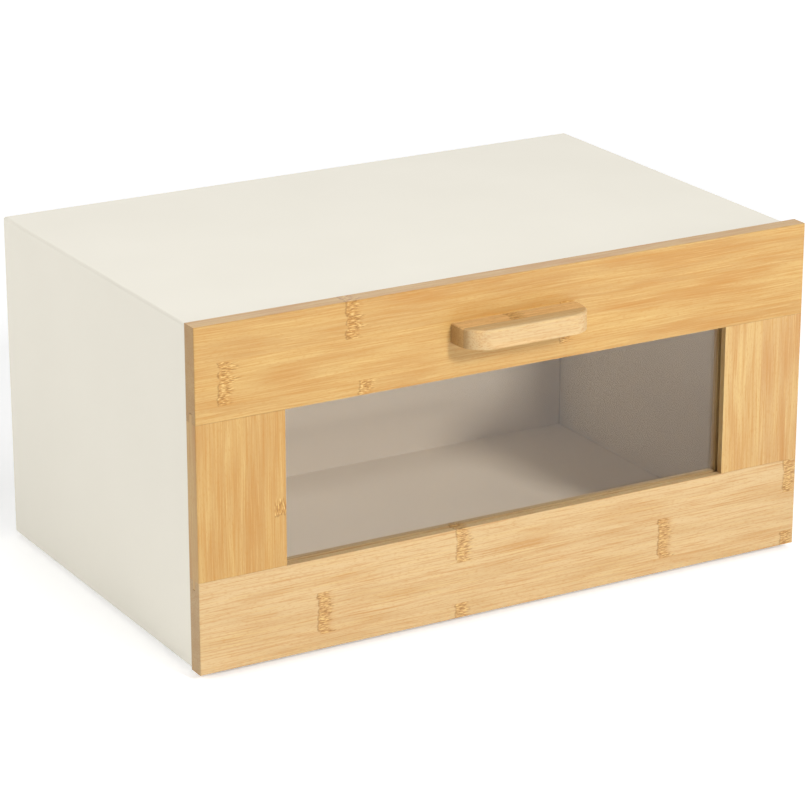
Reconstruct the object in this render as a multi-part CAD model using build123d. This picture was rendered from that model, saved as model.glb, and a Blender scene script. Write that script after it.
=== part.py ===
"""Bread box with a drawer: a folded steel cabinet and a steel drawer behind a bamboo frame.

Millimetres, +Z up, +X to the right as seen from the front, and the front faces -Y.
The origin is on the table, under the middle of the object's outer box.
"""
import os

from build123d import *

os.makedirs("parts", exist_ok=True)

# --- Cabinet ----------------------------------------------------------------------------
CABINET_WIDTH = 355.0        # outside, left to right
CABINET_DEPTH = 220.7        # outside, front lips to back flanges
CABINET_HEIGHT = 180.0       # outside, bottom flanges to top
SHEET = 0.8                  # thickness of the steel sheet, for every folded piece
BEND_R = 1.6                 # outside radius of every fold
TOP_LIP = 11.5               # how far the front lip hangs down from the top
BOTTOM_FLANGE = 10.0         # width of the turned-in flanges that carry the base
BACK_FLANGE = 12.0           # width of the turned-in flanges that carry the back
SEAT_GAP = 0.1               # play round a sheet panel set into the folded wrap

# --- Base, back and feet ----------------------------------------------------------------
BASE_REAR_FLANGE = 14.0      # upturned rear edge of the base
BASE_LIP_GAP = 0.5           # from the base's front lip up to the drawer
FOOT_R = 9.0
FOOT_HEIGHT = 2.4            # rubber disc, stuck to the base's underside
FOOT_EDGE = 0.6              # rounding of the foot's lower edge
FOOT_INSET = 30.0            # foot's centre in from the cabinet's sides, front and back
VENT_R = 3.0
VENT_COUNT = 9
VENT_PITCH = 16.0
VENT_DROP = 30.0             # row of vent holes below the cabinet's top

# --- Blind rivets that hold the back ----------------------------------------------------
RIVET_HEAD_R = 3.0
RIVET_HEAD_H = 1.0
RIVET_SHANK_R = 1.6
RIVET_TAIL_R = 2.3           # set end on the blind side
RIVET_TAIL_L = 3.0
RIVET_EDGE = 6.0             # rivet's centre in from the flange's outer edge
RIVET_SIDE_INSET = 26.0      # end rivets of a side in from top and bottom
RIVET_ROW_INSET = 60.0       # end rivets of the top and bottom rows in from the sides
RIVETS_PER_SIDE = 3
HOLE_FIT = 0.05              # radial play of a rivet, screw or peg in its hole

# --- Runners under the drawer -----------------------------------------------------------
RUNNER_H = 1.7               # thickness of the strip that the drawer glides on
RUNNER_GUIDE_T = 2.0         # upright leg that keeps the drawer straight
RUNNER_GUIDE_H = 9.0         # leg's height above the base
RUNNER_END_GAP = 3.0         # from the base's folds to the runner's ends
RUN_GAP_Z = 0.2              # running gap between runner and drawer, upwards
RUN_GAP_X = 0.4              # and sideways
PEG_R = 2.0                  # pegs that snap through the base
PEG_WALL = 1.7               # strip's edge beyond the pegs
PEG_FLANGE_GAP = 1.0         # between the pegs and the cabinet's bottom flange
PEG_PROUD = 0.7              # how far they stand out below the base
PEG_COUNT = 3
PEG_END_INSET = 45.0         # end pegs in from the runner's ends

# --- Drawer tray: two sides, and one sheet for floor and back ----------------------------
SIDE_SPACE = 5.9             # between the cabinet's inner side and the tray
REAR_SPACE = 7.6             # behind the tray, in front of the base's rear flange
RIM_W = 6.0                  # turned-in top rims of the tray's sides
RIM_CLEARANCE = 2.5          # rim below the cabinet's top lip
SEAM_FLANGE_W = 10.0         # flanges of the sides, welded under the floor and behind the back
FRONT_FLANGE_W = 16.0        # turned-in front flanges of the sides
FRONT_FLANGE_H = 18.0        # upturned front flange of the floor
BACK_HEM = 4.0               # top edge of the back, turned over to the rear
LIP_CLEARANCE = 0.6          # between the tray and the cabinet's side lips
DRAWER_TRAVEL = 165.0        # how far the drawer pulls out
STOP_CLEARANCE = 0.3         # left between stop and lip at full travel
STOP_L = 14.0                # stop block, along the drawer
STOP_W = 5.0
STOP_HEADROOM = 0.8          # from the stop block up to the cabinet's top sheet
STOP_EDGE = 0.8              # rounding of its upright edges
STOP_PEG_R = 1.5
STOP_PEG_PROUD = 1.5

# --- Bamboo front -----------------------------------------------------------------------
BOARD_T = 10.2               # thickness of rails and stiles
TOP_RAIL_H = 49.5
BOTTOM_RAIL_H = 49.0
STILE_W = 49.0
FRONT_OVERHANG = 2.5         # front wider than the cabinet, at each side
FRONT_RISE = 2.4             # front above the cabinet's top
FRONT_LIFT = 1.8             # front's lower edge above the cabinet's lower edge
GROOVE_W = 2.6               # groove for pane and tongues, in the middle of the board
GROOVE_DEPTH = 5.0
TONGUE_FIT = 0.05            # play of a stile's tongue in the groove, at each face
TONGUE_END_GAP = 0.4
GLUE_LINE = 0.1              # between a stile's end and the rail
FRAME_EDGE = 0.6             # rounding of the frame's outer edges
PANE_T = 2.0
PANE_EDGE_GAP = 0.5          # pane's edge short of the groove's bottom

# --- Handle -----------------------------------------------------------------------------
HANDLE_LENGTH = 74.0
HANDLE_REACH = 20.3          # how far it stands out from the front
HANDLE_T = 10.2
HANDLE_CORNER_R = 14.0       # outer corners, seen from above
HANDLE_EDGE = 1.2            # rounding of its upper and lower edges
HANDLE_DROP = 0.7            # handle's middle below the top rail's middle

# --- Pads and screws of the front -------------------------------------------------------
PAD_T = 0.55                 # thin pads between the front and the cabinet's side lips
PAD_L = 14.0
PAD_MARGIN = 0.25            # pad narrower than the lip's flat, at each side
PAD_CLEARANCE = 0.05         # left in front of the lip when the drawer is shut
PAD_INSET = 22.0             # pad's centre in from the front's upper and lower edges
SCREW_HEAD_R = 3.5
SCREW_HEAD_H = 2.0
SCREW_R = 1.75
SCREW_TIP = 2.0              # length of a screw's point
SLOT_W = 0.9                 # cross recess
SLOT_DEPTH = 1.0
FRONT_SCREW_BITE = 8.0       # length in the wood, point included
HANDLE_SCREW_BITE = 14.0
FLANGE_SCREW_INSET = 9.0     # screw's centre in from the tray's outer side and floor
FLOOR_SCREW_SPACING = 90.0   # between the three screws of the floor's flange
HANDLE_SCREW_SPACING = 44.0

# --- Places worked out from the sizes ---------------------------------------------------
FRONT_GAP = PAD_T + PAD_CLEARANCE
BEND_IN = BEND_R - SHEET     # inside radius of a fold
OVERALL_DEPTH = HANDLE_REACH + BOARD_T + FRONT_GAP + CABINET_DEPTH + RIVET_HEAD_H

FACE_Y = HANDLE_REACH - OVERALL_DEPTH / 2      # face of the bamboo front
BOARD_Y = FACE_Y + BOARD_T                     # its rear face
CABINET_Y0 = BOARD_Y + FRONT_GAP               # outside of the cabinet's front lips
CABINET_Y1 = CABINET_Y0 + CABINET_DEPTH        # outside of its back flanges
BACK_Y = CABINET_Y1 - 2 * SHEET                # inner face of the back panel
CABINET_X = CABINET_WIDTH / 2

CABINET_Z0 = FOOT_HEIGHT - SHEET               # underside of the bottom flanges
CABINET_Z1 = CABINET_Z0 + CABINET_HEIGHT
BASE_TOP = FOOT_HEIGHT + SHEET
BASE_X = CABINET_X - BEND_R - SEAT_GAP         # clear of the wrap's inside folds

TRAY_X = CABINET_X - SHEET - SIDE_SPACE
TRAY_Y0 = BOARD_Y                              # front flanges lie on the bamboo's rear face
TRAY_Y1 = BACK_Y - SHEET - REAR_SPACE
TRAY_Z0 = BASE_TOP + RUNNER_H + RUN_GAP_Z
LIP_Z = CABINET_Z1 - TOP_LIP                   # lower edge of the cabinet's top lip
TRAY_Z1 = LIP_Z - RIM_CLEARANCE
FLOOR_Z0 = TRAY_Z0 + SHEET                     # the tray's floor lies on the flanges of its sides
FLOOR_Y1 = TRAY_Y1 - SHEET                     # and its back against their rear flanges
BACK_TOP = TRAY_Z1 - BEND_R - SEAT_GAP

FRONT_X = CABINET_X + FRONT_OVERHANG
WINDOW_X = FRONT_X - STILE_W
FRONT_Z0 = CABINET_Z0 + FRONT_LIFT
FRONT_Z1 = CABINET_Z1 + FRONT_RISE
WINDOW_Z0 = FRONT_Z0 + BOTTOM_RAIL_H
WINDOW_Z1 = FRONT_Z1 - TOP_RAIL_H
BOARD_MID_Y = FACE_Y + BOARD_T / 2
HANDLE_Z = FRONT_Z1 - TOP_RAIL_H / 2 - HANDLE_DROP

LIP_X = TRAY_X + LIP_CLEARANCE                 # inner edges of the cabinet's side lips
FLANGE_SCREW_X = TRAY_X - FLANGE_SCREW_INSET
FLANGE_SCREW_Z = TRAY_Z0 + FLANGE_SCREW_INSET


# --- Small builders ---------------------------------------------------------------------
def block(x, y, z):
    """A box between pairs of limits: block((x0, x1), (y0, y1), (z0, z1))."""
    size = Box(x[1] - x[0], y[1] - y[0], z[1] - z[0], align=(Align.MIN, Align.MIN, Align.MIN))
    return Pos(x[0], y[0], z[0]) * size


def spread(count, half):
    """Evenly spaced places from -half to +half."""
    if count < 2:
        return [0.0]
    return [half * (2 * i / (count - 1) - 1) for i in range(count)]


def along_y(solid):
    """Turn a piece made upright so that its +Z end points to -Y."""
    return Rot(X=90) * solid


def folded_box(x, y, z):
    """A closed box of folded sheet: rounded outside and inside by the fold's radii."""
    outer = fillet(block(x, y, z).edges(), BEND_R)
    inside = block(*[(low + SHEET, high - SHEET) for low, high in (x, y, z)])
    return outer - fillet(inside.edges(), BEND_IN)


def drill(r, x, y, z, depth):
    """A cutter for a round hole along Y, from y to y + depth."""
    return Pos(x, y, z) * along_y(Cylinder(r, depth, align=(Align.CENTER, Align.CENTER, Align.MAX)))


def together(solids):
    """Separate solids kept as one group."""
    return Compound(children=list(solids))


# --- Cabinet ----------------------------------------------------------------------------
def cabinet_shell():
    """Top and sides in one folded wrap, with its lips and flanges turned in."""
    wrap = folded_box((-CABINET_X, CABINET_X), (CABINET_Y0, CABINET_Y1), (CABINET_Z0, CABINET_Z1))
    doorway = block((-LIP_X, LIP_X), (CABINET_Y0 - 1, CABINET_Y0 + BEND_R), (CABINET_Z0 - 1, LIP_Z))
    flange_x = CABINET_X - BOTTOM_FLANGE
    under = block((-flange_x, flange_x), (CABINET_Y0 - 1, CABINET_Y1 + 1),
                  (CABINET_Z0 - 1, CABINET_Z0 + BEND_R))
    back_x = CABINET_X - BACK_FLANGE
    behind = block((-back_x, back_x), (CABINET_Y1 - BEND_R, CABINET_Y1 + 1),
                   (CABINET_Z0 - 1, CABINET_Z1 - BACK_FLANGE))
    wrap = wrap - doorway - under - behind
    for x, z in side_rivets() + top_rivets():
        wrap -= drill(RIVET_SHANK_R + HOLE_FIT, x, CABINET_Y1 - 2 * SHEET, z, 3 * SHEET)
    return wrap


def base_panel():
    """Floor of the cabinet: it lies on the bottom flanges, with upturned front and rear edges."""
    y = (CABINET_Y0 + SHEET + SEAT_GAP, BACK_Y)
    z = (FOOT_HEIGHT, FOOT_HEIGHT + BASE_REAR_FLANGE)
    outer = block((-BASE_X, BASE_X), y, z)
    outer = fillet(outer.edges().filter_by(Axis.X).group_by(Axis.Z)[0], BEND_R)
    inside = block((-BASE_X - 1, BASE_X + 1), (y[0] + SHEET, y[1] - SHEET), (z[0] + SHEET, z[1] + 1))
    inside = fillet(inside.edges().filter_by(Axis.X).group_by(Axis.Z)[0], BEND_IN)
    over_lip = block((-BASE_X - 1, BASE_X + 1), (y[0] - 1, y[0] + BEND_R),
                     (TRAY_Z0 - BASE_LIP_GAP, z[1] + 1))
    panel = outer - inside - over_lip
    for x, z in bottom_rivets():
        panel -= drill(RIVET_SHANK_R + HOLE_FIT, x, BACK_Y - 2 * SHEET, z, 3 * SHEET)
    for side in (-1, 1):
        for place in peg_places():
            panel -= Pos(side * PEG_X, place, FOOT_HEIGHT) * Cylinder(PEG_R + HOLE_FIT, 3 * SHEET)
    return panel


def back_panel():
    """Flat sheet set against the back flanges, with a row of vent holes under its top edge."""
    panel = block((-BASE_X, BASE_X), (BACK_Y, BACK_Y + SHEET),
                  (CABINET_Z0 + BEND_R + SEAT_GAP, CABINET_Z1 - BEND_R - SEAT_GAP))
    for x, z in side_rivets() + top_rivets() + bottom_rivets():
        panel -= drill(RIVET_SHANK_R + HOLE_FIT, x, BACK_Y - SHEET, z, 3 * SHEET)
    for x in spread(VENT_COUNT, VENT_PITCH * (VENT_COUNT - 1) / 2):
        panel -= drill(VENT_R, x, BACK_Y - SHEET, CABINET_Z1 - VENT_DROP, 3 * SHEET)
    return panel


def side_rivets():
    """Places of the rivets in the left and right back flanges."""
    middle = (CABINET_Z0 + CABINET_Z1) / 2
    reach = CABINET_HEIGHT / 2 - RIVET_SIDE_INSET
    return [(side * (CABINET_X - RIVET_EDGE), middle + step)
            for side in (-1, 1) for step in spread(RIVETS_PER_SIDE, reach)]


def top_rivets():
    """Places of the rivets in the top's back flange."""
    return [(x, CABINET_Z1 - RIVET_EDGE) for x in spread(RIVETS_PER_SIDE, CABINET_X - RIVET_ROW_INSET)]


def bottom_rivets():
    """Places of the rivets that join the back panel to the base's rear flange."""
    z = FOOT_HEIGHT + BASE_REAR_FLANGE - RIVET_EDGE
    return [(x, z) for x in spread(RIVETS_PER_SIDE, CABINET_X - RIVET_ROW_INSET)]


def back_rivets():
    """Set blind rivets: a domed head outside and a swollen tail inside."""
    one = along_y(rivet(2 * SHEET))
    places = [(x, CABINET_Y1, z) for x, z in side_rivets() + top_rivets()]
    places += [(x, CABINET_Y1 - SHEET, z) for x, z in bottom_rivets()]
    return together(Pos(*place) * one for place in places)


def rivet(grip):
    """One rivet, upright, its head under z = 0 and its tail above the gripped sheets."""
    low = Align.CENTER, Align.CENTER, Align.MIN
    head = Pos(0, 0, -RIVET_HEAD_H) * Cylinder(RIVET_HEAD_R, RIVET_HEAD_H, align=low)
    head = fillet(head.edges().group_by(Axis.Z)[0], RIVET_HEAD_H * 0.7)
    tail = Pos(0, 0, grip) * Cylinder(RIVET_TAIL_R, RIVET_TAIL_L, align=low)
    tail = fillet(tail.edges().group_by(Axis.Z)[-1], RIVET_TAIL_R * 0.4)
    return head + Cylinder(RIVET_SHANK_R, grip, align=low) + tail


# --- Runners and feet -------------------------------------------------------------------
RUNNER_Y0 = CABINET_Y0 + SHEET + SEAT_GAP + BEND_R + RUNNER_END_GAP
RUNNER_Y1 = BACK_Y - BEND_R - RUNNER_END_GAP
PEG_X = CABINET_X - BOTTOM_FLANGE - PEG_FLANGE_GAP - PEG_R


def peg_places():
    """Places of a runner's pegs along Y."""
    middle = (RUNNER_Y0 + RUNNER_Y1) / 2
    return [middle + step for step in spread(PEG_COUNT, (RUNNER_Y1 - RUNNER_Y0) / 2 - PEG_END_INSET)]


def runner():
    """Right-hand glide strip: flat under the tray, an upright guide beside it, and pegs below."""
    strip_x = (PEG_X - PEG_R - PEG_WALL, CABINET_X - SHEET)
    strip = block(strip_x, (RUNNER_Y0, RUNNER_Y1), (BASE_TOP, BASE_TOP + RUNNER_H))
    guide_x = TRAY_X + RUN_GAP_X
    strip += block((guide_x, guide_x + RUNNER_GUIDE_T), (RUNNER_Y0, RUNNER_Y1),
                   (BASE_TOP, BASE_TOP + RUNNER_GUIDE_H))
    peg = Cylinder(PEG_R, SHEET + PEG_PROUD, align=(Align.CENTER, Align.CENTER, Align.MAX))
    for place in peg_places():
        strip += Pos(PEG_X, place, BASE_TOP) * peg
    return strip


def foot(x, y):
    """Rubber disc under the base."""
    disc = Cylinder(FOOT_R, FOOT_HEIGHT, align=(Align.CENTER, Align.CENTER, Align.MIN))
    return Pos(x, y, 0) * fillet(disc.edges().group_by(Axis.Z)[0], FOOT_EDGE)


# --- Drawer -----------------------------------------------------------------------------
def tray_side():
    """Right side of the tray: one sheet, with its rim and its three flanges turned in."""
    sheet = folded_box((-TRAY_X, TRAY_X), (TRAY_Y0, TRAY_Y1), (TRAY_Z0, TRAY_Z1))
    far = -TRAY_X - 1
    front_fold = TRAY_Y0 + BEND_R
    rim_fold = TRAY_Z1 - BEND_R
    sheet -= block((far, TRAY_X - RIM_W), (TRAY_Y0 - 1, TRAY_Y1 + 1), (rim_fold, TRAY_Z1 + 1))
    sheet -= block((far, TRAY_X - SEAM_FLANGE_W), (front_fold, TRAY_Y1 + 1), (TRAY_Z0 - 1, rim_fold))
    sheet -= block((far, TRAY_X - FRONT_FLANGE_W), (TRAY_Y0 - 1, front_fold), (TRAY_Z0 - 1, rim_fold))
    sheet -= Pos(STOP_X, STOP_Y, TRAY_Z1) * Cylinder(STOP_PEG_R + HOLE_FIT, 3 * SHEET)
    return front_holes(sheet)


def tray_floor():
    """Floor and back of the tray in one folded sheet, laid on the flanges of the sides."""
    half = TRAY_X - BEND_R - SEAT_GAP
    beyond = (-half - 1, half + 1)
    sheet = block((-half, half), (TRAY_Y0, FLOOR_Y1), (FLOOR_Z0, BACK_TOP))
    sheet = fillet(sheet.edges().filter_by(Axis.X).group_by(Axis.Z)[0], BEND_R)
    inside = block(beyond, (TRAY_Y0 + SHEET, FLOOR_Y1 - SHEET), (FLOOR_Z0 + SHEET, BACK_TOP + 1))
    sheet -= fillet(inside.edges().filter_by(Axis.X).group_by(Axis.Z)[0], BEND_IN)
    front_fold = TRAY_Y0 + BEND_R + SEAT_GAP
    sheet -= block(beyond, (TRAY_Y0 - 1, front_fold), (TRAY_Z0 + FRONT_FLANGE_H, BACK_TOP + 1))
    for side in (-1, 1):
        notch_x = sorted((side * (TRAY_X - FRONT_FLANGE_W - SEAT_GAP), side * (half + 1)))
        sheet -= block(notch_x, (TRAY_Y0 - 1, front_fold), (FLOOR_Z0 - 1, BACK_TOP + 1))
    hem_x = TRAY_X - SEAM_FLANGE_W - SEAT_GAP
    hem_y = FLOOR_Y1 - SHEET
    sheet -= block((-hem_x, hem_x), (hem_y - 1, FLOOR_Y1 + 1), (BACK_TOP - BACK_HEM, BACK_TOP + 1))
    hem = block((-hem_x, hem_x), (hem_y, hem_y + BACK_HEM), (BACK_TOP - BACK_HEM, BACK_TOP))
    hem = fillet(hem.edges().filter_by(Axis.X).group_by(Axis.Z)[-1].group_by(Axis.Y)[0], BEND_R)
    hollow = block(beyond, (FLOOR_Y1, FLOOR_Y1 + BACK_HEM), (BACK_TOP - BACK_HEM - 1, BACK_TOP - SHEET))
    hem -= fillet(hollow.edges().filter_by(Axis.X).group_by(Axis.Z)[-1].group_by(Axis.Y)[0], BEND_IN)
    return front_holes(sheet + hem)


def front_holes(sheet):
    """The same sheet with the holes of the front's screws."""
    for x, z in front_screw_places():
        sheet -= drill(SCREW_R + HOLE_FIT, x, TRAY_Y0 - SHEET, z, 3 * SHEET)
    return sheet


STOP_X = TRAY_X - RIM_W / 2
STOP_Y = CABINET_Y0 + SHEET + STOP_CLEARANCE + DRAWER_TRAVEL + STOP_L / 2


def drawer_stop(side):
    """Block on the tray's rim: it meets the cabinet's top lip at full travel."""
    x, y = side * STOP_X, STOP_Y
    body = block((x - STOP_W / 2, x + STOP_W / 2), (y - STOP_L / 2, y + STOP_L / 2),
                 (TRAY_Z1, CABINET_Z1 - SHEET - STOP_HEADROOM))
    body = fillet(body.edges().filter_by(Axis.Z), STOP_EDGE)
    peg = Cylinder(STOP_PEG_R, SHEET + STOP_PEG_PROUD, align=(Align.CENTER, Align.CENTER, Align.MAX))
    return body + Pos(x, y, TRAY_Z1) * peg


def in_the_middle(x, thickness, z):
    """A block of this thickness in the middle of the board."""
    return block(x, (BOARD_MID_Y - thickness / 2, BOARD_MID_Y + thickness / 2), z)


def groove(z0, z1):
    """Cutter for the groove along a rail, at full length."""
    return in_the_middle((-FRONT_X - 1, FRONT_X + 1), GROOVE_W, (z0, z1))


def rail(z0, z1, outer_end):
    """Bamboo rail over the front's full width, its outer edges rounded."""
    bar = block((-FRONT_X, FRONT_X), (FACE_Y, BOARD_Y), (z0, z1))
    ends = bar.edges().filter_by(Axis.Z)
    outer = bar.edges().filter_by(Axis.X).group_by(Axis.Z)[outer_end]
    bar = fillet(ends + outer, FRAME_EDGE)
    for x, z in front_screw_places():
        if z0 < z < z1:
            bar -= drill(SCREW_R + HOLE_FIT, x, BOARD_Y - FRONT_SCREW_BITE, z, FRONT_SCREW_BITE + 1)
    return bar


def top_rail():
    """Upper rail, with the groove along its lower edge and the holes of the handle's screws."""
    bar = rail(WINDOW_Z1, FRONT_Z1, -1) - groove(WINDOW_Z1 - 1, WINDOW_Z1 + GROOVE_DEPTH)
    for x in spread(2, HANDLE_SCREW_SPACING / 2):
        bar -= drill(SCREW_R + HOLE_FIT, x, FACE_Y - 1, HANDLE_Z, BOARD_T + 2)
    return bar


def bottom_rail():
    """Lower rail, with the groove along its upper edge."""
    return rail(FRONT_Z0, WINDOW_Z0, 0) - groove(WINDOW_Z0 - GROOVE_DEPTH, WINDOW_Z0 + 1)


def stile(side):
    """Upright of the frame, with a tongue at each end and a groove for the pane."""
    x = sorted((side * WINDOW_X, side * FRONT_X))
    bar = block(x, (FACE_Y, BOARD_Y), (WINDOW_Z0 + GLUE_LINE, WINDOW_Z1 - GLUE_LINE))
    outer = bar.edges().filter_by(Axis.Z).group_by(Axis.X)[-1 if side > 0 else 0]
    bar = fillet(outer, FRAME_EDGE)
    slot_x = sorted((side * (WINDOW_X - 1), side * (WINDOW_X + GROOVE_DEPTH)))
    bar -= in_the_middle(slot_x, GROOVE_W, (WINDOW_Z0 - 1, WINDOW_Z1 + 1))
    tongue_x = sorted((side * (WINDOW_X + GROOVE_DEPTH), side * FRONT_X))
    reach = GROOVE_DEPTH - TONGUE_END_GAP
    bar += in_the_middle(tongue_x, GROOVE_W - 2 * TONGUE_FIT, (WINDOW_Z0 - reach, WINDOW_Z1 + reach))
    for screw_x, z in front_screw_places():
        if WINDOW_Z0 < z < WINDOW_Z1 and screw_x * side > 0:
            bar -= drill(SCREW_R + HOLE_FIT, screw_x, BOARD_Y - FRONT_SCREW_BITE, z, FRONT_SCREW_BITE + 1)
    return bar


def window_pane():
    """Clear pane, held in the groove on all four sides."""
    reach = GROOVE_DEPTH - PANE_EDGE_GAP
    return in_the_middle((-WINDOW_X - reach, WINDOW_X + reach), PANE_T,
                         (WINDOW_Z0 - reach, WINDOW_Z1 + reach))


def handle():
    """Bamboo bar handle: straight against the rail, with rounded outer corners."""
    bar = block((-HANDLE_LENGTH / 2, HANDLE_LENGTH / 2), (FACE_Y - HANDLE_REACH, FACE_Y),
                (HANDLE_Z - HANDLE_T / 2, HANDLE_Z + HANDLE_T / 2))
    bar = fillet(bar.edges().filter_by(Axis.Z).group_by(Axis.Y)[0], HANDLE_CORNER_R)
    for face in (bar.faces().sort_by(Axis.Z)[0], bar.faces().sort_by(Axis.Z)[-1]):
        rim = [edge for edge in face.edges() if edge.center().Y < FACE_Y - HANDLE_EDGE / 2]
        bar = fillet(rim, HANDLE_EDGE)
    for x in spread(2, HANDLE_SCREW_SPACING / 2):
        bar -= drill(SCREW_R + HOLE_FIT, x, FACE_Y - HANDLE_SCREW_BITE, HANDLE_Z, HANDLE_SCREW_BITE + 1)
    return bar


# --- Pads and screws --------------------------------------------------------------------
def pad(side, z):
    """Thin soft strip on the front's rear face, where it meets the cabinet's side lip."""
    x = sorted((side * (LIP_X + PAD_MARGIN), side * (CABINET_X - BEND_R - PAD_MARGIN)))
    return block(x, (BOARD_Y, BOARD_Y + PAD_T), (z - PAD_L / 2, z + PAD_L / 2))


def front_screw_places():
    """Screws through the tray's flanges: one into each board at each side, three along the floor."""
    heights = ((FLANGE_SCREW_Z + WINDOW_Z0) / 2, (WINDOW_Z0 + WINDOW_Z1) / 2, (WINDOW_Z1 + TRAY_Z1) / 2)
    places = [(side * FLANGE_SCREW_X, z) for side in (-1, 1) for z in heights]
    return places + [(x, FLANGE_SCREW_Z) for x in spread(3, FLOOR_SCREW_SPACING)]


def screw(length):
    """Pan-head wood screw, upright, its head below z = 0 and its point at z = length."""
    low = Align.CENTER, Align.CENTER, Align.MIN
    head = Pos(0, 0, -SCREW_HEAD_H) * Cylinder(SCREW_HEAD_R, SCREW_HEAD_H, align=low)
    head = fillet(head.edges().group_by(Axis.Z)[0], SCREW_HEAD_H * 0.6)
    for turn in (0, 90):
        head -= Pos(0, 0, -SCREW_HEAD_H) * Rot(Z=turn) * Box(SCREW_HEAD_R, SLOT_W, 2 * SLOT_DEPTH)
    shank = Cylinder(SCREW_R, length - SCREW_TIP, align=low)
    tip = Pos(0, 0, length - SCREW_TIP) * Cone(SCREW_R, SCREW_R / 4, SCREW_TIP, align=low)
    return head + shank + tip


def front_screws():
    """Screws from inside the tray into the bamboo."""
    one = along_y(screw(SHEET + FRONT_SCREW_BITE - HOLE_FIT))
    return together(Pos(x, TRAY_Y0 + SHEET, z) * one for x, z in front_screw_places())


def handle_screws():
    """Two screws from behind the top rail into the handle."""
    one = along_y(screw(BOARD_T + HANDLE_SCREW_BITE - HOLE_FIT))
    return together(Pos(x, BOARD_Y, HANDLE_Z) * one for x in spread(2, HANDLE_SCREW_SPACING / 2))


# --- All pieces, each in its own file ---------------------------------------------------
right_runner = runner()
right_side = tray_side()
pieces = {
    "cabinet_shell": cabinet_shell(),
    "base_panel": base_panel(),
    "back_panel": back_panel(),
    "back_rivets": back_rivets(),
    "runner_right": right_runner,
    "runner_left": mirror(right_runner, Plane.YZ),
    "tray_floor": tray_floor(),
    "tray_side_right": right_side,
    "tray_side_left": mirror(right_side, Plane.YZ),
    "drawer_stop_left": drawer_stop(-1),
    "drawer_stop_right": drawer_stop(1),
    "top_rail": top_rail(),
    "bottom_rail": bottom_rail(),
    "stile_left": stile(-1),
    "stile_right": stile(1),
    "window_pane": window_pane(),
    "handle": handle(),
    "handle_screws": handle_screws(),
    "front_screws": front_screws(),
}
for end, foot_y in (("front", CABINET_Y0 + FOOT_INSET), ("rear", CABINET_Y1 - FOOT_INSET)):
    for name, side in (("left", -1), ("right", 1)):
        pieces[f"foot_{end}_{name}"] = foot(side * (CABINET_X - FOOT_INSET), foot_y)
for end, pad_z in (("top", FRONT_Z1 - PAD_INSET), ("bottom", FRONT_Z0 + PAD_INSET)):
    for name, side in (("left", -1), ("right", 1)):
        pieces[f"pad_{end}_{name}"] = pad(side, pad_z)

for name, piece in pieces.items():
    export_step(piece, f"parts/{name}.step")
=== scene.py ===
# %% [markdown]
# # A bread box with a drawer
# The object is a folded steel cabinet with a cream powder coating. Its drawer is a steel tray behind a bamboo
# frame, which holds a clear pane and carries a bamboo bar handle. The solids come in at their real size and
# place, so the work here is what the eye gets: light, finishes and the pattern of the wood.

# %% Load the solids
import math

import bmesh
import bpy
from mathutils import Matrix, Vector


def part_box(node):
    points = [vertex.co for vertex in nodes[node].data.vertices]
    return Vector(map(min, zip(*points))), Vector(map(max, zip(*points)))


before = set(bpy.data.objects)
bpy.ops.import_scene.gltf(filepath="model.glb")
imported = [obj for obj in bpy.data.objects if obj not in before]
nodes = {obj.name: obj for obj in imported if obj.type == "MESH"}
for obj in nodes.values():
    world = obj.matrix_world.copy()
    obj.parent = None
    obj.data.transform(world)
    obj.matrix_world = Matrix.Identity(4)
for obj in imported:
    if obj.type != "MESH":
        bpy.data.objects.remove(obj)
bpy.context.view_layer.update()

# %% [markdown]
# ## The camera
# The photograph was taken from a low height to the left of the front, through a long lens. The camera's place
# was found from the straight edges of the box. It is kept as three distances in metres: to the left of the
# middle, in front of the bamboo's face, and above the cabinet's lower edge.

# %% Camera
CAMERA_LEFT = 0.8570
CAMERA_FRONT = 1.3742
CAMERA_UP = 0.6757
CAMERA_LOOKS = Vector((0.4723, 0.8179, -0.3287))
LENS_MM = 149.84

face_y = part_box("bottom_rail")[0][1]
shell_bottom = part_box("cabinet_shell")[0][2]

camera_data = bpy.data.cameras.new("camera")
camera_data.lens = LENS_MM
camera_data.sensor_width = 36.0
camera_data.clip_end = 50.0
camera = bpy.data.objects.new("camera", camera_data)
camera.location = (-CAMERA_LEFT, face_y - CAMERA_FRONT, shell_bottom + CAMERA_UP)
camera.rotation_euler = CAMERA_LOOKS.to_track_quat("-Z", "Y").to_euler()
bpy.context.scene.collection.objects.link(camera)
bpy.context.scene.camera = camera
print("camera at", [round(v, 4) for v in camera.location])

# %% [markdown]
# ## Colours and nodes
# Colours are written as the hex values that a picture editor shows, and the renderer wants them linear, so
# one function turns them. A second one adds a shader node, with its settings and what its sockets are fed
# from: a plain value, another node's output, or just the other node, which stands for its first output. A
# third starts a material.


# %% Helpers for materials
def colour(hex_code):
    """An sRGB hex colour as a linear RGBA tuple."""
    parts = [int(hex_code[i:i + 2], 16) / 255 for i in (1, 3, 5)]
    linear = [p / 12.92 if p <= 0.04045 else ((p + 0.055) / 1.055) ** 2.4 for p in parts]
    return (*linear, 1.0)


def add(tree, kind, feeds=None, **settings):
    """Adds a node. feeds maps an input, by name or number, to a value, an output or a node's first output."""
    node = tree.nodes.new("ShaderNode" + kind)
    for name, value in settings.items():
        setattr(node, name, value)
    for socket, value in (feeds or {}).items():
        if isinstance(value, bpy.types.Node):
            value = value.outputs[0]
        if isinstance(value, bpy.types.NodeSocket):
            tree.links.new(value, node.inputs[socket])
        else:
            node.inputs[socket].default_value = value
    return node


def new_material(name):
    """An empty node material: its tree and its output node."""
    material = bpy.data.materials.new(name)
    material.use_nodes = True
    material.node_tree.nodes.clear()
    return material, material.node_tree, add(material.node_tree, "OutputMaterial")


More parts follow.
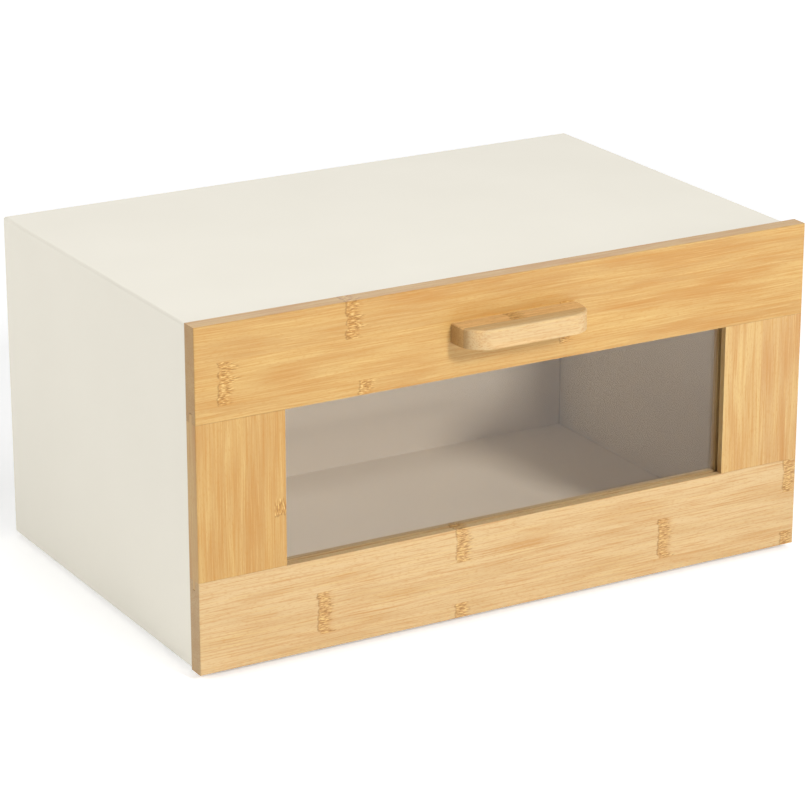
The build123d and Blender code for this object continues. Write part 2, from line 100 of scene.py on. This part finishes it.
MM = 0.001
finishes = {}
print("helpers: colour, add, new_material")

# %% [markdown]
# ## Powder coating
# The cabinet and the tray are mild steel, sprayed with a dry polyester powder and baked. That gives an even,
# silky matt skin: no grain, no brush marks, only a very fine orange peel. The peel's hills are about 1 mm
# apart and 2 microns high, so they are a bump, not geometry.

# %% Powder coating
PEEL_MM = 0.9
PEEL_HEIGHT_MM = 0.002
PATCH_MM = 60.0                       # slow change in the film's thickness
GLOSS_FROM, GLOSS_TO = 0.50, 0.56     # the roughness that goes with it


def powder_coating(name, shade, deeper):
    """Cream polyester powder coating on steel."""
    material, tree, output = new_material(name)
    place = add(tree, "TexCoord").outputs["Object"]
    peel = add(tree, "TexNoise", {"Vector": place, "Scale": 1 / (PEEL_MM * MM), "Detail": 1.0,
                                  "Roughness": 0.4})
    patch = add(tree, "TexNoise", {"Vector": place, "Scale": 1 / (PATCH_MM * MM), "Detail": 2.0})
    tone = add(tree, "Mix", {"Factor": patch.outputs["Fac"], 6: colour(shade), 7: colour(deeper)},
               data_type="RGBA")
    gloss = add(tree, "MapRange", {"Value": patch.outputs["Fac"], "To Min": GLOSS_FROM, "To Max": GLOSS_TO})
    bump = add(tree, "Bump", {"Height": peel.outputs["Fac"], "Distance": PEEL_HEIGHT_MM * MM,
                              "Strength": 1.0})
    skin = add(tree, "BsdfPrincipled", {"Base Color": tone.outputs[2], "Roughness": gloss.outputs["Result"],
                                        "IOR": 1.5, "Normal": bump.outputs["Normal"]})
    tree.links.new(skin.outputs["BSDF"], output.inputs["Surface"])
    return material


finishes["powder_coated_steel"] = powder_coating("powder_coated_steel", "#E9E4D6", "#E5E0D2")
# The tray has the cabinet's coating, but its cream is made warmer here: painted bounce light, standing in for
# the warm light that goes round inside the drawer.
finishes["tray_coating_painted_bounce_light"] = powder_coating("tray_coating_painted_bounce_light", "#F2E4CF", "#EEE0CB")
print("made", finishes["powder_coated_steel"].name, "and", finishes["tray_coating_painted_bounce_light"].name)

# %% [markdown]
# ## Bamboo
# The boards are laminated bamboo: strips about 17 mm wide, split from the stem's wall and glued edge to edge.
# Three things make it look like bamboo and not like wood. There are no growth rings, only straight fibre
# bundles, seen as long thin streaks. Each strip has its own tone, so the glue lines show as a faint change
# of colour. And each strip is crossed by its knuckles, where the stem had a partition: a brown band with a
# ragged edge, full of short dark and pale fibre ends. A strip's knuckles come at a steady distance, the
# length of the stem's joints, so a board is described by its strips' edges, the place of one knuckle in each,
# and that length.
#
# An image could show one board well, but would slide or stretch on the others. A pattern worked out from the
# place inside the board costs nothing to store and goes on over edges and ends, as the real fibres do.

# %% Bamboo: the sizes of its pattern, in millimetres
FIBRE = (24.0, 0.65)         # fibre bundles: length and width; really 0.4 wide, drawn coarser to show
STREAK = (110.0, 1.2)        # darker bundles in rows
CLOUD = (55.0, 8.0)          # slow change of tone
DASH = (2.6, 0.6)            # short fibre ends, at the knuckles and faintly all over
WANDER = (80.0, 1.5)         # fibres wander sideways: over this length, by this much
WANDER_ALIKE = 0.05          # per millimetre: fibres within 20 mm of each other wander nearly alike
STRIP_APART = 9.0            # how far apart the strips lie in the noise that they wander by
FRINGE = 11.0                # how far the fibre ends reach from a knuckle's line
LINE = 0.45                  # half the width of that line
EDGE = 0.9                   # how softly a knuckle starts
LINE_WOBBLE = 2.2            # how unevenly it starts
END_WOBBLE = 6.0             # and how unevenly its fibre ends stop
RAG = 2.5                    # width of the steps in both
GLUE = 0.2                   # half the width of a glue line
STRIP_SHIFT = 61.0           # moves the pattern on from strip to strip
FIBRE_RELIEF = 0.02          # how far the fibres stand proud after sanding
END_DEPTH = 0.4              # depth of the open fibre ends, as a share of that
PALE, HONEY, AMBER, BROWN, STRAW = "#BD9A5E", "#AF8850", "#AC7630", "#6F4C1B", "#CEB072"
END_GRAIN = "#94713F"
print("bamboo tones:", PALE, HONEY, AMBER, BROWN, STRAW, END_GRAIN)

# %% [markdown]
# ### Place and strips
# The pattern is worked out from the place inside the board, in millimetres: how far along the fibres, how far
# across them and how deep. What differs between strips, such as the tone, is one value for the whole board
# that steps up or down at each glue line, so that a board needs only one material.


# %% Bamboo: place and strips
def place_in_mm(tree, along, across):
    """Millimetres along the fibres, across them, and into the board."""
    in_mm = add(tree, "VectorMath", {0: add(tree, "TexCoord").outputs["Object"], 1: (1 / MM,) * 3},
                operation="MULTIPLY")
    place = add(tree, "SeparateXYZ", {0: in_mm})
    deep = next(axis for axis in "XYZ" if axis not in (along, across))
    return [place.outputs[axis] for axis in (along, across, deep)]


def by_strip(tree, past, values):
    """A value that differs from strip to strip. past says, for each glue line, if a point is past it."""
    total = values[0]
    for passed, before, after in zip(past, values, values[1:]):
        total = add(tree, "Math", {0: passed, 1: after - before, 2: total}, operation="MULTIPLY_ADD")
    return total


print("bamboo helpers: place_in_mm, by_strip")

# %% [markdown]
# ### Knuckles
# On a board a knuckle is a thin broken line, where the stem's partition was cut through, and on one side of
# it the fibres end in a ragged fringe. The distance from the strip's nearest knuckle is made uneven with a
# noise that changes from fibre to fibre. Smooth steps of that distance then give three masks.


# %% Bamboo: knuckles
def knuckle_masks(tree, place, number, knuckle, joint):
    """Where a knuckle's line is, where the band of colour beside it, and where its torn fibre ends."""
    length, width, depth = place
    rag_place = add(tree, "CombineXYZ", {0: width, 1: depth, 2: number})
    rag = add(tree, "TexNoise", {"Vector": rag_place, "Scale": 1 / RAG, "Detail": 2.0})
    uneven = add(tree, "Math", {0: rag, 1: 0.5}, operation="SUBTRACT")

    half_joint = add(tree, "Math", {0: joint, 1: 0.5}, operation="MULTIPLY")
    minus_half = add(tree, "Math", {0: half_joint, 1: -1.0}, operation="MULTIPLY")
    from_knuckle = add(tree, "Math", {0: length, 1: knuckle}, operation="SUBTRACT")
    nearest = add(tree, "Math", {0: from_knuckle, 1: half_joint, 2: minus_half}, operation="WRAP")
    from_line = add(tree, "Math", {0: uneven, 1: 2 * LINE_WOBBLE, 2: nearest}, operation="MULTIPLY_ADD")
    from_ends = add(tree, "Math", {0: uneven, 1: 2 * END_WOBBLE, 2: from_line}, operation="MULTIPLY_ADD")
    off_line = add(tree, "Math", {0: from_line}, operation="ABSOLUTE")

    # Each mask is the product of two smooth steps: of what, from where, to where, and the values there.
    begun = (from_line, -EDGE, EDGE, 0.0, 1.0)
    masks = []
    for steps in (((off_line, 0.0, 2 * LINE, 1.0, 0.0), (rag, 0.35, 0.55, 0.35, 1.0)),
                  (begun, (from_line, 0.3 * FRINGE, FRINGE, 1.0, 0.0)),
                  (begun, (from_ends, 0.4 * FRINGE, FRINGE, 1.0, 0.0))):
        smooth = [add(tree, "MapRange", dict(enumerate(step)), interpolation_type="SMOOTHSTEP")
                  for step in steps]
        masks.append(add(tree, "Math", dict(enumerate(smooth)), operation="MULTIPLY"))
    return masks


print("knuckles: line", 2 * LINE, "mm wide, fringe", FRINGE, "mm long")

# %% [markdown]
# ### Fibres
# Bamboo's fibres are straight, but not quite parallel, and two strips never match. So the place is pushed a
# little sideways by a slow noise, and each strip reads its own stretch of the pattern. The marks are noise
# drawn out along the fibres, each kind with the length and the width given above.


# %% Bamboo: fibres
def fibre_place(tree, place, number):
    """The place in the pattern of the fibres, which wander and differ from strip to strip."""
    length, width, depth = place
    drift_place = add(tree, "CombineXYZ", {
        0: add(tree, "Math", {0: length, 1: WANDER[0]}, operation="DIVIDE"),
        1: add(tree, "Math", {0: width, 1: WANDER_ALIKE}, operation="MULTIPLY"),
        2: add(tree, "Math", {0: number, 1: STRIP_APART}, operation="MULTIPLY")})
    drift = add(tree, "TexNoise", {"Vector": drift_place, "Scale": 1.0, "Detail": 1.0})
    sideways = add(tree, "Math", {0: drift, 1: 2 * WANDER[1], 2: width}, operation="MULTIPLY_ADD")
    onward = add(tree, "Math", {0: number, 1: STRIP_SHIFT, 2: length}, operation="MULTIPLY_ADD")
    return add(tree, "CombineXYZ", {0: onward, 1: sideways, 2: depth})


def grain(tree, place, size, detail):
    """Marks of this length and width, drawn out along the fibres."""
    run, breadth = size
    squeezed = add(tree, "VectorMath", {0: place, 1: (1 / run, 1 / breadth, 1 / breadth)},
                   operation="MULTIPLY")
    return add(tree, "TexNoise", {"Vector": squeezed, "Scale": 1.0, "Detail": detail})


print("fibre bundles", FIBRE, "mm, streaks", STREAK, "mm, fibre ends", DASH, "mm")

# %% [markdown]
# ### The material
# A board starts from each strip's own tone, between pale and honey. Every mask then lays a tint over what is
# there, in the order of the list, so that knuckles, glue lines and end grain come on top of the fibres. The
# boards are sanded and thinly lacquered, which gives a satin gloss over a relief too fine to feel.


# %% Bamboo: the material
def bamboo(name, along, across, strips, seed, mottle, pale=PALE, honey=HONEY):
    """Laminated bamboo. Each strip has its far edge, its tone, one knuckle's place and the joints' length."""
    material, tree, output = new_material(name)
    place = place_in_mm(tree, along, across)
    edges = [strip[0] for strip in strips[:-1]]
    past = [add(tree, "Math", {0: place[1], 1: edge}, operation="GREATER_THAN") for edge in edges]
    number = by_strip(tree, past, [seed + i for i in range(len(strips))])
    tone, knuckle, joint = (by_strip(tree, past, [strip[i] for strip in strips]) for i in (1, 2, 3))

    line, band, ends = knuckle_masks(tree, place, number, knuckle, joint)
    fibres = fibre_place(tree, place, number)
    fibre, cloud, dash = (grain(tree, fibres, size, 1.0) for size in (FIBRE, CLOUD, DASH))
    streak = grain(tree, fibres, STREAK, 2.0)
    dark_ends, light_ends = (
        add(tree, "Math", {0: ends, 1: add(tree, "MapRange", {0: dash, 1: low, 2: high},
                                           interpolation_type="SMOOTHSTEP")}, operation="MULTIPLY")
        for low, high in ((0.52, 0.62), (0.46, 0.36)))
    glue = 0.0
    for edge in edges:
        near = add(tree, "Math", {0: place[1], 1: edge, 2: GLUE}, operation="COMPARE")
        glue = add(tree, "Math", {0: glue, 1: near}, operation="MAXIMUM")
    normal = add(tree, "SeparateXYZ", {0: add(tree, "TexCoord").outputs["Normal"]})
    endwise = add(tree, "Math", {0: normal.outputs[along]}, operation="ABSOLUTE")
    end_face = add(tree, "MapRange", {0: endwise, 1: 0.75, 2: 0.95}, interpolation_type="SMOOTHSTEP")

    # Colour: the strip's tone with clouds, then streaks and fibres, then knuckles, glue lines and end grain.
    cloudy = add(tree, "Math", {0: cloud, 1: 0.5}, operation="SUBTRACT")
    toned = add(tree, "Math", {0: cloudy, 1: 2.0, 2: tone}, operation="MULTIPLY_ADD")
    shade = add(tree, "Mix", {"Factor": toned, 6: colour(pale), 7: colour(honey)},
                data_type="RGBA").outputs[2]
    for mask, low, high, tint, strength in (
            (cloud, 0.5, 0.75, AMBER, mottle),
            (streak, 0.50, 0.72, AMBER, 0.35),
            (streak, 0.46, 0.3, STRAW, 0.18),
            (fibre, 0.50, 0.75, AMBER, 0.5),
            (fibre, 0.46, 0.25, STRAW, 0.3),
            (dash, 0.52, 0.72, AMBER, 0.3),
            (band, 0.0, 1.0, AMBER, 0.5),
            (light_ends, 0.0, 1.0, STRAW, 0.8),
            (dark_ends, 0.0, 1.0, BROWN, 0.5),
            (line, 0.0, 1.0, BROWN, 0.4),
            (glue, 0.0, 1.0, AMBER, 0.3),
            (end_face, 0.0, 1.0, END_GRAIN, 0.5)):
        amount = add(tree, "MapRange", {0: mask, 1: low, 2: high, 4: strength},
                     interpolation_type="SMOOTHSTEP")
        shade = add(tree, "Mix", {"Factor": amount, 6: shade, 7: colour(tint)}, data_type="RGBA").outputs[2]

    # Relief: after sanding the fibres stand a little proud, and the torn fibre ends are open.
    relief = add(tree, "Math", {0: dark_ends, 1: -END_DEPTH, 2: fibre}, operation="MULTIPLY_ADD")
    bump = add(tree, "Bump", {"Height": relief, "Distance": FIBRE_RELIEF * MM, "Strength": 1.0})
    gloss = add(tree, "MapRange", {0: fibre, 1: 0.3, 2: 0.7, 3: 0.44, 4: 0.52},
                interpolation_type="SMOOTHSTEP")
    wood = add(tree, "BsdfPrincipled", {"Base Color": shade, "Roughness": gloss, "IOR": 1.5,
                                        "Coat Weight": 0.1, "Coat Roughness": 0.35, "Normal": bump})
    tree.links.new(wood.outputs["BSDF"], output.inputs["Surface"])
    return material


# %% [markdown]
# ### The boards
# The rails' fibres run from side to side and the uprights' fibres run up and down. Every strip is written as
# its far edge, its tone from pale to honey, the place of one knuckle and the length between knuckles. A long
# way between them, or a place beyond the board, leaves a strip with one knuckle or none. After its strips, a
# board has the number that its pattern starts from, the strength of its amber clouds and, where it differs
# from the others, its own pale and honey.

# %% Bamboo: the boards
BEYOND = 900.0
boards = {
    "bamboo_top_rail": ("X", "Z", ((142.3, 0.6, -89.3, BEYOND), (164.5, 0.35, -167.1, 195.0),
                                   (BEYOND, 0.75, -96.5, BEYOND)), 3.0, 0.35),
    "bamboo_bottom_rail": ("X", "Z", ((11.5, 0.4, -33.6, 205.0), (34.0, 0.35, -113.3, 205.0),
                                      (BEYOND, 0.1, -33.2, 205.0)), 11.0, 0.2, "#C3A77B", "#B8996B"),
    "bamboo_left_upright": ("Z", "X", ((-160.0, 0.6, 400.0, BEYOND), (-137.5, 0.7, 400.0, BEYOND),
                                       (BEYOND, 0.75, 79.8, BEYOND)), 23.0, 0.3),
    "bamboo_right_upright": ("Z", "X", ((154.8, 0.1, 400.0, BEYOND),
                                        (BEYOND, 0.6, 400.0, BEYOND)), 31.0, 0.35,
                             "#C1A16A", "#B18A5A"),
    # The handle's front face is its first strip and its top is the second. The second strip's honey, #E2BA80,
    # is made much lighter than the wood's own tone: painted light from above, on the handle's top.
    "bamboo_handle": ("X", "Y", ((-117.0, 0.0, 400.0, BEYOND), (BEYOND, 1.0, -7.0, BEYOND)), 43.0, 0.15,
                      "#C0A478", "#E2BA80"),
}
for name, board in boards.items():
    finishes[name] = bamboo(name, *board)
print("made", len(boards), "bamboo boards")

# %% [markdown]
# ## The clear pane
# The pane is a 2 mm sheet of clear acrylic. Light goes nearly straight through so thin a sheet, so it is a
# see-through shader without refraction, with a mirror-like one that takes over at flat angles, as Fresnel's
# law says.

# %% Clear pane
HEAD_ON = 0.04           # share of light that a plastic surface reflects head-on


def clear_pane(name):
    """Thin clear acrylic."""
    material, tree, output = new_material(name)
    facing = add(tree, "LayerWeight", {"Blend": 0.5}).outputs["Facing"]
    steep = add(tree, "Math", {0: facing, 1: 5.0}, operation="POWER")
    share = add(tree, "Math", {0: steep.outputs[0], 1: 1 - HEAD_ON, 2: HEAD_ON}, operation="MULTIPLY_ADD")
    through = add(tree, "BsdfTransparent", {"Color": colour("#FEFEFE")})
    mirror = add(tree, "BsdfPrincipled", {"Base Color": colour("#FFFFFF"), "Metallic": 1.0,
                                          "Roughness": 0.03})
    sheet = add(tree, "MixShader", {"Fac": share.outputs[0], 1: through.outputs[0], 2: mirror.outputs[0]})
    tree.links.new(sheet.outputs[0], output.inputs["Surface"])
    return material


finishes["clear_acrylic"] = clear_pane("clear_acrylic")
print("made", finishes["clear_acrylic"].name)

# %% [markdown]
# ## Small parts
# Screws are steel with bright zinc plating, rivets are plain aluminium, runners and stops are moulded nylon,
# the feet are black rubber and the closing pads a pale silicone. Each is one shader with a fine noise in its
# roughness and relief, of the size of the marks that its making leaves.

# %% Small parts
GLOSS_SPREAD = 0.06      # how far the marks change the roughness, up and down


def plain_finish(name, shade, roughness, metallic, grain_mm, relief_mm):
    """A moulded, plated or drawn surface: one colour, with fine marks in its gloss and relief."""
    material, tree, output = new_material(name)
    place = add(tree, "TexCoord").outputs["Object"]
    marks = add(tree, "TexNoise", {"Vector": place, "Scale": 1 / (grain_mm * MM),
                                   "Detail": 2.0}).outputs["Fac"]
    gloss = add(tree, "MapRange", {"Value": marks, "To Min": roughness - GLOSS_SPREAD,
                                   "To Max": roughness + GLOSS_SPREAD})
    bump = add(tree, "Bump", {"Height": marks, "Distance": relief_mm * MM, "Strength": 1.0})
    body = add(tree, "BsdfPrincipled", {"Base Color": colour(shade), "Roughness": gloss.outputs["Result"],
                                        "Metallic": metallic, "Normal": bump.outputs["Normal"]})
    tree.links.new(body.outputs["BSDF"], output.inputs["Surface"])
    return material


for name, *values in (("zinc_plated_steel", "#BFC1C4", 0.34, 1.0, 0.8, 0.004),
                      ("plain_aluminium", "#D2D3D4", 0.42, 1.0, 0.6, 0.006),
                      ("moulded_nylon", "#E9E7E0", 0.48, 0.0, 0.5, 0.004),
                      ("black_rubber", "#1F1F20", 0.78, 0.0, 0.7, 0.02),
                      ("pale_silicone", "#D9D7CF", 0.55, 0.0, 0.6, 0.005)):
    finishes[name] = plain_finish(name, *values)
print("finishes:", ", ".join(sorted(finishes)))

# %% [markdown]
# ## Dressing the solids
# Every solid keeps its shape and gets its finish in its material slots.

# %% Finish of each piece
wears = {
    "cabinet_shell": "powder_coated_steel", "base_panel": "powder_coated_steel",
    "back_panel": "powder_coated_steel", "tray_floor": "tray_coating_painted_bounce_light",
    "tray_side_left": "tray_coating_painted_bounce_light", "tray_side_right": "tray_coating_painted_bounce_light",
    "top_rail": "bamboo_top_rail", "bottom_rail": "bamboo_bottom_rail",
    "stile_left": "bamboo_left_upright", "stile_right": "bamboo_right_upright",
    "handle": "bamboo_handle", "window_pane": "clear_acrylic",
    "handle_screws": "zinc_plated_steel", "front_screws": "zinc_plated_steel",
    "back_rivets": "plain_aluminium",
}
by_start = {"runner": "moulded_nylon", "drawer_stop": "moulded_nylon", "foot": "black_rubber",
            "pad": "pale_silicone"}
for name, solid in nodes.items():
    start = next((s for s in by_start if name.startswith(s)), None)
    finish = finishes[wears.get(name) or by_start[start]]
    for holder in solid.material_slots:
        holder.material = finish
print("dressed", len(nodes), "solids")

# %% [markdown]
# ## Floor and light
# A white floor and white walls all round, which are the world here. Two small lamps near the front light the
# drawer's inside, one from above and one from low down. Four large soft lamps fill in from the right, the
# left, above and behind. Seen directly or in a reflection, floor and walls are white, and near the box the
# floor keeps its soft shadow.


# %% Floor
def seen_directly(tree):
    """1 for rays from the camera, straight, mirrored or let through, and 0 for the rays that light things."""
    rays = add(tree, "LightPath").outputs
    seen = add(tree, "Math", {0: rays["Is Camera Ray"], 1: rays["Is Glossy Ray"]}, operation="MAXIMUM")
    return add(tree, "Math", {0: seen.outputs[0], 1: rays["Is Transmission Ray"]},
               operation="MAXIMUM").outputs[0]


WHITE = (1.0, 1.0, 1.0, 1.0)
FLOOR_SIZE = 12.0
FLOOR_LIFT = 0.34        # light added where the floor is seen, so that it reads as white paper
NEAR, AWAY = 0.8, 2.5    # from the object, in metres: the lift grows from one to the other, to full white

plane = bmesh.new()
bmesh.ops.create_grid(plane, x_segments=1, y_segments=1, size=FLOOR_SIZE / 2)
floor_mesh = bpy.data.meshes.new("floor")
plane.to_mesh(floor_mesh)
plane.free()
floor = bpy.data.objects.new("floor", floor_mesh)
bpy.context.scene.collection.objects.link(floor)

paper, tree, output = new_material("white_paper")
matt = add(tree, "BsdfDiffuse", {"Color": colour("#F4F4F4")})
apart = add(tree, "VectorMath", {0: add(tree, "TexCoord").outputs["Object"]}, operation="LENGTH")
lifted = add(tree, "MapRange", {"Value": apart.outputs["Value"], "From Min": NEAR, "From Max": AWAY,
                                "To Min": FLOOR_LIFT, "To Max": 1.0})
glow = add(tree, "Emission", {"Color": WHITE, "Strength": lifted.outputs["Result"]})
none = add(tree, "Emission", {"Strength": 0.0})
lift = add(tree, "MixShader", {"Fac": seen_directly(tree), 1: none.outputs[0], 2: glow.outputs[0]})
both = add(tree, "AddShader", {0: matt.outputs[0], 1: lift.outputs[0]})
tree.links.new(both.outputs[0], output.inputs["Surface"])
floor_mesh.materials.append(paper)
print("floor", FLOOR_SIZE, "m")

# %% World
WALL_LIGHT = 0.03        # light that the white room sends on to the object

world = bpy.data.worlds.new("white_room")
bpy.context.scene.world = world
world.use_nodes = True
tree = world.node_tree
tree.nodes.clear()
room = add(tree, "Background", {"Color": WHITE, "Strength": WALL_LIGHT})
white = add(tree, "Background", {"Color": WHITE, "Strength": 1.0})
mixed = add(tree, "MixShader", {"Fac": seen_directly(tree), 1: room.outputs[0], 2: white.outputs[0]})
add(tree, "OutputWorld", {"Surface": mixed.outputs[0]})
print("world light", WALL_LIGHT)

# %% Lamps
LIGHTS_AIM = Vector((0.0, 0.0, 0.09))
MATT_LIGHTS = ("key_light", "low_light", "left_light")   # kept out of reflections, against glare


def soft_light(name, turn, lift, far, size, watts):
    """A square soft light aimed at the box: turned from its front to the right, and lifted, in degrees."""
    lamp = bpy.data.lights.new(name, "AREA")
    lamp.shape = "SQUARE"
    lamp.size = size
    lamp.energy = watts
    holder = bpy.data.objects.new(name, lamp)
    turn, lift = math.radians(turn), math.radians(lift)
    away = Vector((math.sin(turn) * math.cos(lift), -math.cos(turn) * math.cos(lift), math.sin(lift)))
    holder.location = LIGHTS_AIM + away * far
    holder.rotation_euler = (-away).to_track_quat("-Z", "Y").to_euler()
    holder.visible_glossy = name not in MATT_LIGHTS
    bpy.context.scene.collection.objects.link(holder)


for name, *values in (("key_light", 12, 29, 2.2, 0.36, 31.0),
                      ("low_light", 1, 7, 2.2, 0.36, 16.0),
                      ("right_light", 45, 30, 2.6, 1.6, 7.0),
                      ("left_light", -110, 30, 2.6, 1.6, 41.0),
                      ("top_light", 0, 60, 2.6, 1.0, 12.0),
                      ("rear_light", 155, 40, 2.6, 1.6, 13.0)):
    soft_light(name, *values)
print("lamps:", [light.name for light in bpy.data.lights])

bpy.context.scene.view_settings.view_transform = "Standard"
